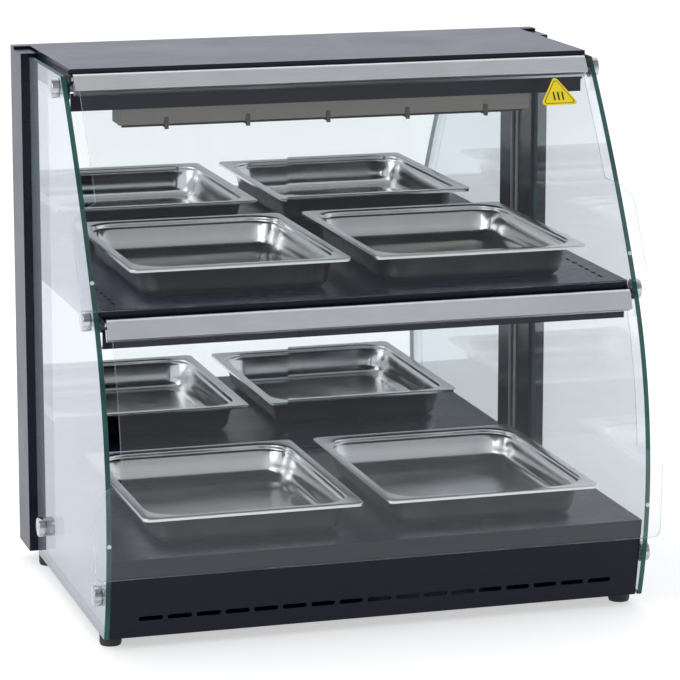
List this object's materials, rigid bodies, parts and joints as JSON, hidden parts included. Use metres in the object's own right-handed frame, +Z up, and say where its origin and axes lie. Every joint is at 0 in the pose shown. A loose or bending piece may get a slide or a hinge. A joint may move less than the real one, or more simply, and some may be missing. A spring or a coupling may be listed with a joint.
{
  "type": "hot food display case",
  "caption": "Two-tier heated food display case with curved glass sides, lift-up curved glass front flaps, sliding mirror doors at the rear and lift-out pans.",
  "frame": {"origin": "on the ground, in the middle of the overall width and depth", "axes": "+X to the right seen from the front, +Y from the front to the back, +Z up"},
  "size_m": [0.688, 0.49, 0.651],
  "materials": {
    "anthracite_paint": "fine-textured anthracite powder coat, satin",
    "brushed_aluminium": "brushed along its length, clear anodised",
    "stainless_steel": "bright-rolled stainless steel",
    "aluminised_steel": "plain aluminised sheet",
    "lamp_steel": "satin steel, slightly warm from heat",
    "zinc_steel": "bright zinc plating",
    "heater_sheath": "heat-darkened steel sheath",
    "chrome": "polished chrome plating",
    "track_aluminium": "dark anodised extrusion",
    "clear_glass": "clear toughened glass with ground, dark green edges",
    "mirror": "silvered glass, polished edges",
    "quartz": "clear quartz tube",
    "amber_lens": "translucent amber",
    "black_plastic": "fine-grained moulding",
    "ivory_plastic": "plain moulding",
    "phenolic": "moulded phenolic",
    "wire_jacket": "silicone sleeving",
    "foot_rubber": "moulded rubber",
    "pale_seal": "translucent silicone",
    "heater_mat": "silicone heating mat",
    "ceramic_white": "glazed steatite",
    "red_rocker": "polished moulding"
  },
  "bodies": {
    "root": {"base_tray": "anthracite_paint", "front_fascia": "anthracite_paint", "deck_plate": "anthracite_paint", "deck_heater": "heater_sheath", "heat_shield": "aluminised_steel", "rear_panel": "anthracite_paint", "thermostat": "phenolic", "switch_housings": "black_plastic", "pilot_lamp": "amber_lens", "power_inlet": "black_plastic", "terminal_block": "ivory_plastic", "wiring_loom": "wire_jacket", "feet": "foot_rubber", "foot_screws": "zinc_steel", "left_post": "anthracite_paint", "right_post": "anthracite_paint", "post_caps": "anthracite_paint", "top_rail": "anthracite_paint", "mid_rail": "anthracite_paint", "door_top_tracks": "track_aluminium", "door_bottom_tracks": "track_aluminium", "door_buffers": "pale_seal", "roof_panel": "anthracite_paint", "ceiling_panel": "anthracite_paint", "roof_skirt": "anthracite_paint", "shelf_panel": "anthracite_paint", "shelf_underpan": "anthracite_paint", "shelf_skirt": "anthracite_paint", "shelf_heater": "heater_mat", "hinge_brackets": "black_plastic", "left_side_glass": "clear_glass", "right_side_glass": "clear_glass", "glass_caps": "chrome", "glass_bolts": "zinc_steel", "glass_spacers": "pale_seal", "lamp_housing": "lamp_steel", "lamp_end_caps": "lamp_steel", "lamp_holders": "ceramic_white", "quartz_tube": "quartz", "lamp_guard": "chrome", "panel_screws": "zinc_steel"},
    "upper_flap": {"upper_flap_glass": "clear_glass", "upper_flap_rail": "brushed_aluminium", "upper_flap_pins": "zinc_steel", "upper_flap_bumpers": "pale_seal"},
    "lower_flap": {"lower_flap_glass": "clear_glass", "lower_flap_rail": "brushed_aluminium", "lower_flap_pins": "zinc_steel", "lower_flap_bumpers": "pale_seal"},
    "upper_left_door": {"upper_left_door": "mirror"},
    "upper_right_door": {"upper_right_door": "mirror"},
    "lower_left_door": {"lower_left_door": "mirror"},
    "lower_right_door": {"lower_right_door": "mirror"},
    "upper_left_pan": {"upper_left_pan": "stainless_steel"},
    "upper_right_pan": {"upper_right_pan": "stainless_steel"},
    "lower_left_pan": {"lower_left_pan": "stainless_steel"},
    "lower_right_pan": {"lower_right_pan": "stainless_steel"},
    "thermostat_knob": {"thermostat_knob": "black_plastic"},
    "power_rocker": {"power_rocker": "red_rocker"},
    "light_rocker": {"light_rocker": "red_rocker"}
  },
  "joints": [
    {"name": "open_upper_flap", "type": "hinge", "parent": "root", "child": "upper_flap", "pos_m": [0, -0.02955, 0.6393], "axis": [-1, 0, 0], "range_deg": [0, 75]},
    {"name": "open_lower_flap", "type": "hinge", "parent": "root", "child": "lower_flap", "pos_m": [0, -0.19213, 0.3793], "axis": [-1, 0, 0], "range_deg": [0, 75]},
    {"name": "slide_upper_left_door", "type": "slide", "parent": "root", "child": "upper_left_door", "axis": [1, 0, 0], "range_m": [0, 0.3]},
    {"name": "slide_upper_right_door", "type": "slide", "parent": "root", "child": "upper_right_door", "axis": [-1, 0, 0], "range_m": [0, 0.3]},
    {"name": "slide_lower_left_door", "type": "slide", "parent": "root", "child": "lower_left_door", "axis": [1, 0, 0], "range_m": [0, 0.3]},
    {"name": "slide_lower_right_door", "type": "slide", "parent": "root", "child": "lower_right_door", "axis": [-1, 0, 0], "range_m": [0, 0.3]},
    {"name": "lift_upper_left_pan", "type": "slide", "parent": "root", "child": "upper_left_pan", "axis": [0, 0.53, 0.848], "range_m": [0, 0.07]},
    {"name": "lift_upper_right_pan", "type": "slide", "parent": "root", "child": "upper_right_pan", "axis": [0, 0.53, 0.848], "range_m": [0, 0.07]},
    {"name": "lift_lower_left_pan", "type": "slide", "parent": "root", "child": "lower_left_pan", "axis": [0, 0, 1], "range_m": [0, 0.1]},
    {"name": "lift_lower_right_pan", "type": "slide", "parent": "root", "child": "lower_right_pan", "axis": [0, 0, 1], "range_m": [0, 0.1]},
    {"name": "turn_thermostat", "type": "hinge", "parent": "root", "child": "thermostat_knob", "pos_m": [0.04, 0.228, 0.06], "axis": [0, -1, 0], "range_deg": [0, 270]},
    {"name": "rock_power_switch", "type": "hinge", "parent": "root", "child": "power_rocker", "pos_m": [-0.15, 0.226, 0.06], "axis": [1, 0, 0], "range_deg": [-8, 8]},
    {"name": "rock_light_switch", "type": "hinge", "parent": "root", "child": "light_rocker", "pos_m": [-0.11, 0.226, 0.06], "axis": [1, 0, 0], "range_deg": [-8, 8]}
  ]
}
